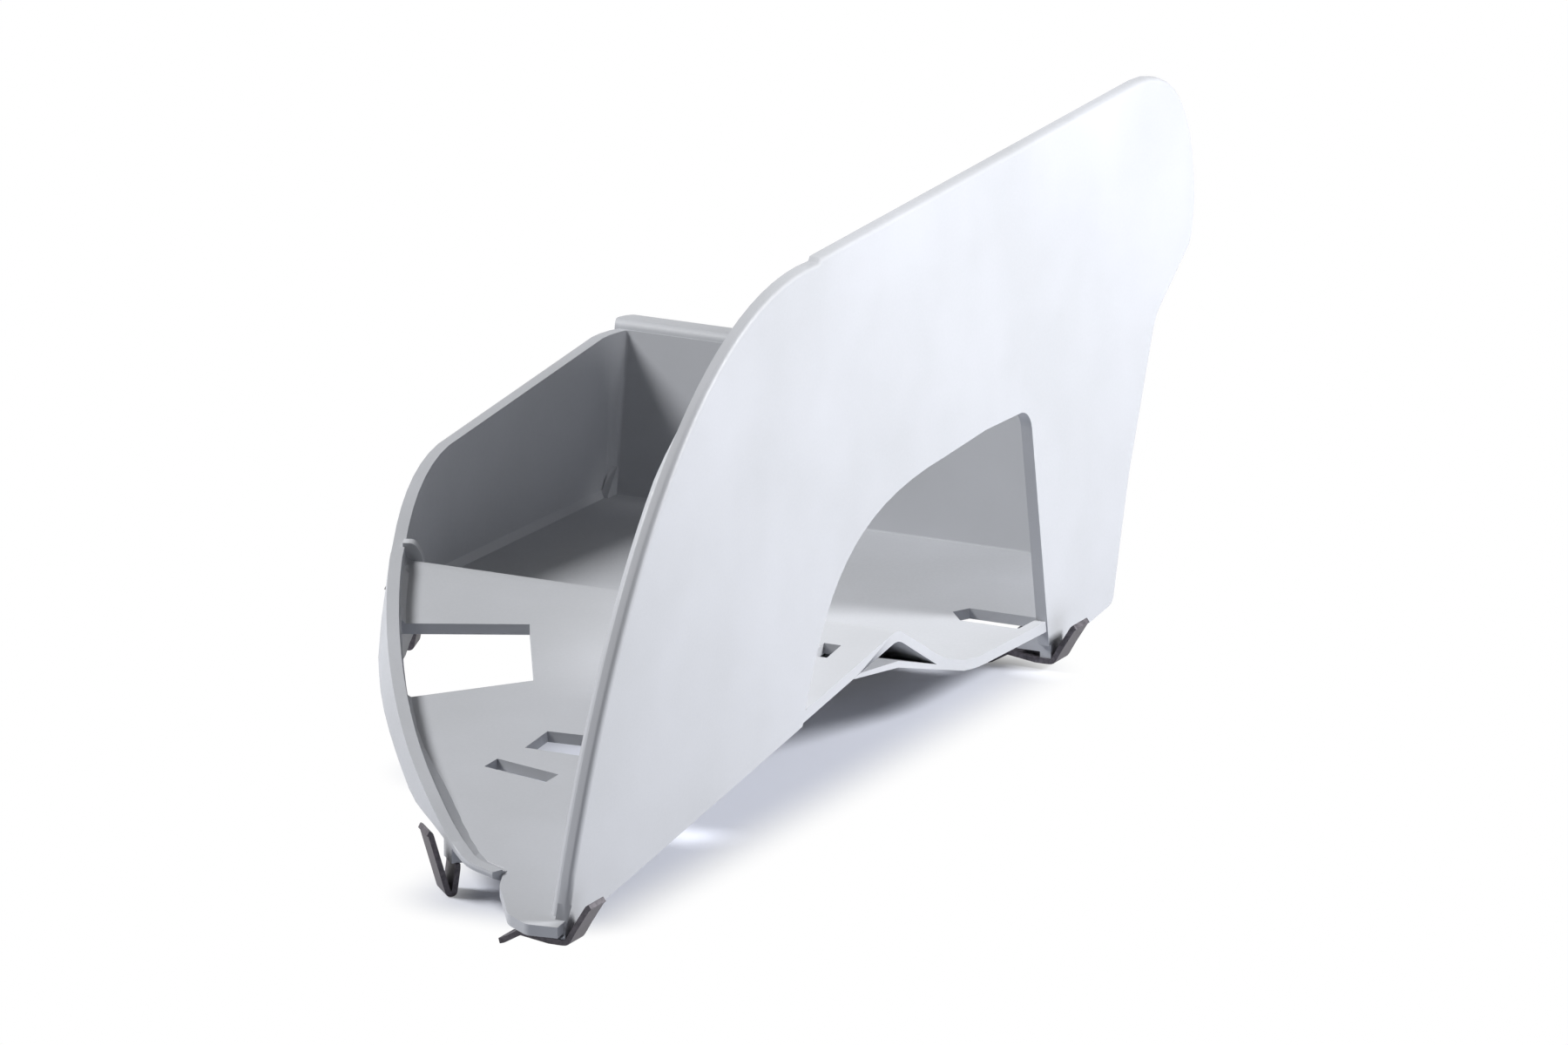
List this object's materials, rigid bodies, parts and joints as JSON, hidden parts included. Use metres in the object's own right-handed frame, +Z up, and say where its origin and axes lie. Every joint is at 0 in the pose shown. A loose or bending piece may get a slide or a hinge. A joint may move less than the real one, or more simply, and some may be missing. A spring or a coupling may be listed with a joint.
{
  "type": "bumper spoiler",
  "caption": "Corner spoiler of a bumper: a thin-walled moulded scoop with a tall side fin, a wheel-side arch, a ramp floor with slots and sprung clips underneath",
  "frame": {"origin": "middle of the part's outline, on the plane that the clips stand on", "axes": "+X to the tall side panel, +Y back from the nose, +Z up"},
  "size_m": [0.195, 0.4054, 0.1646],
  "materials": {
    "shell": "silver-grey moulded plastic, fine satin grain",
    "clip": "dark grey coated spring steel"
  },
  "bodies": {
    "root": {"spoiler_shell": "shell", "clip_front_outer": "clip", "clip_rear_outer": "clip", "clip_front_inner": "clip", "clip_rear_inner": "clip"}
  },
  "joints": []
}
